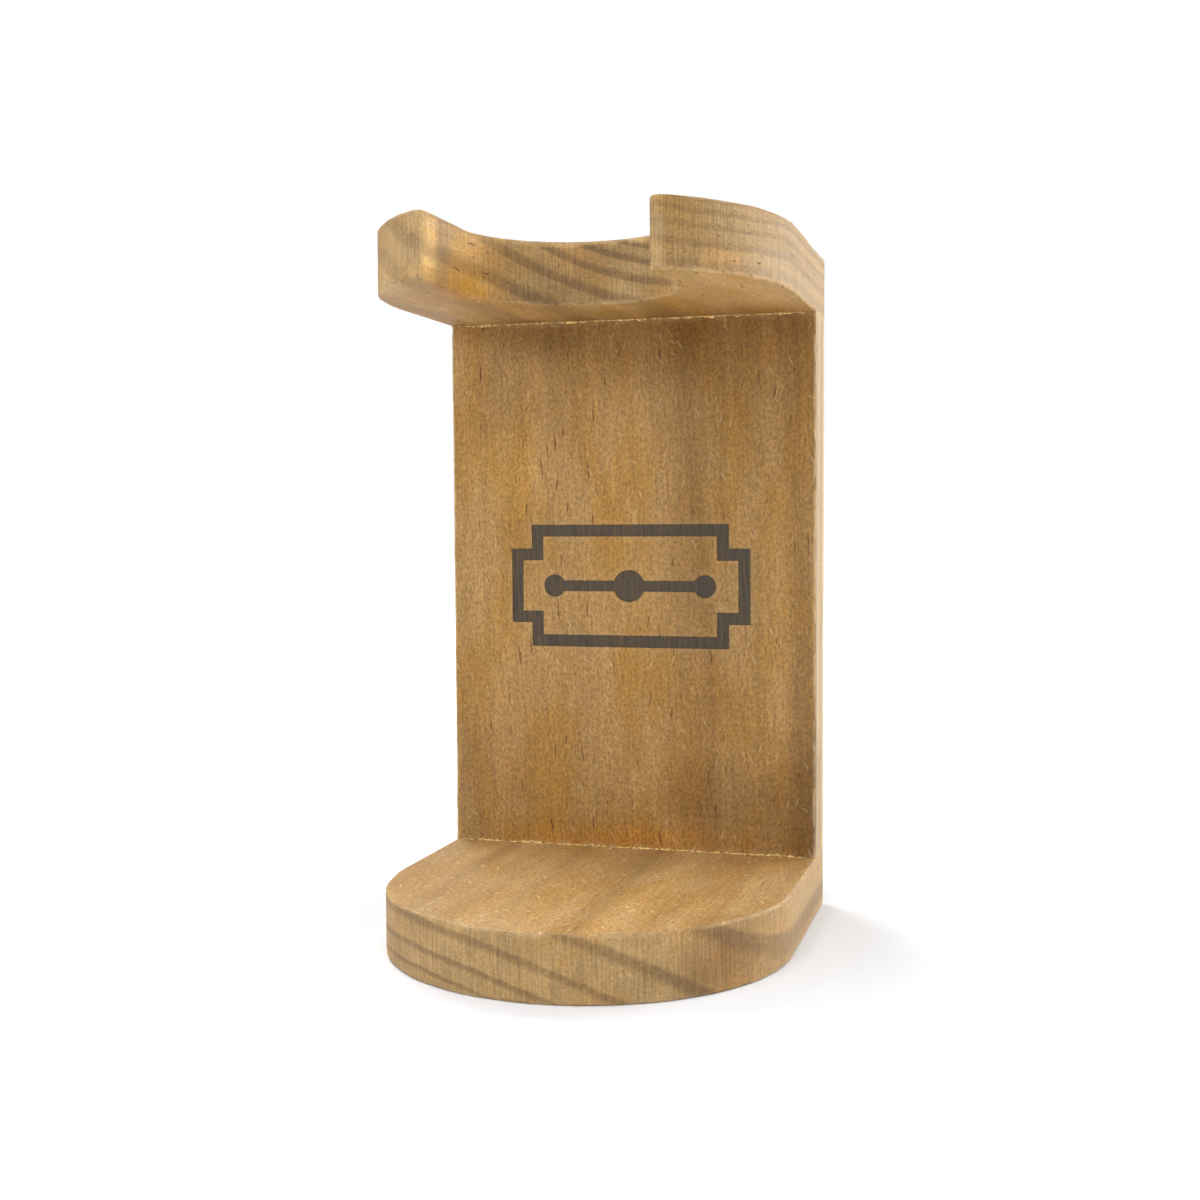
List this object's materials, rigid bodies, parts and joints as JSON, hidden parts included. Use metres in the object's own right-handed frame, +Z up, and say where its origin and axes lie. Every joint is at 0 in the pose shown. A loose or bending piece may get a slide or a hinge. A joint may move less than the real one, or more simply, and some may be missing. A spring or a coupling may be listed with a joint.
{
  "type": "razor stand",
  "caption": "Free-standing wooden stand: a round-fronted base plate, an upright back panel and a top plate whose open U notch holds a razor or a shaving brush.",
  "frame": {"origin": "on the surface the stand rests on, at the centre of its plan", "axes": "+Z up, front (the open side of the notch) towards -Y, +X to the right of someone facing the front"},
  "size_m": [0.07, 0.0724, 0.121],
  "materials": {
    "stained_pine": "fine-sanded pine with a warm brown stain, no varnish",
    "plain_beech": "turned and fluted, untreated",
    "dried_glue": "dried wood glue with sanding dust in it"
  },
  "bodies": {
    "root": {"back_panel": "stained_pine", "base_plate": "stained_pine", "top_plate": "stained_pine", "lower_left_dowel": "plain_beech", "lower_right_dowel": "plain_beech", "upper_left_dowel": "plain_beech", "upper_right_dowel": "plain_beech", "lower_glue_line": "dried_glue", "upper_glue_line": "dried_glue"}
  },
  "joints": []
}
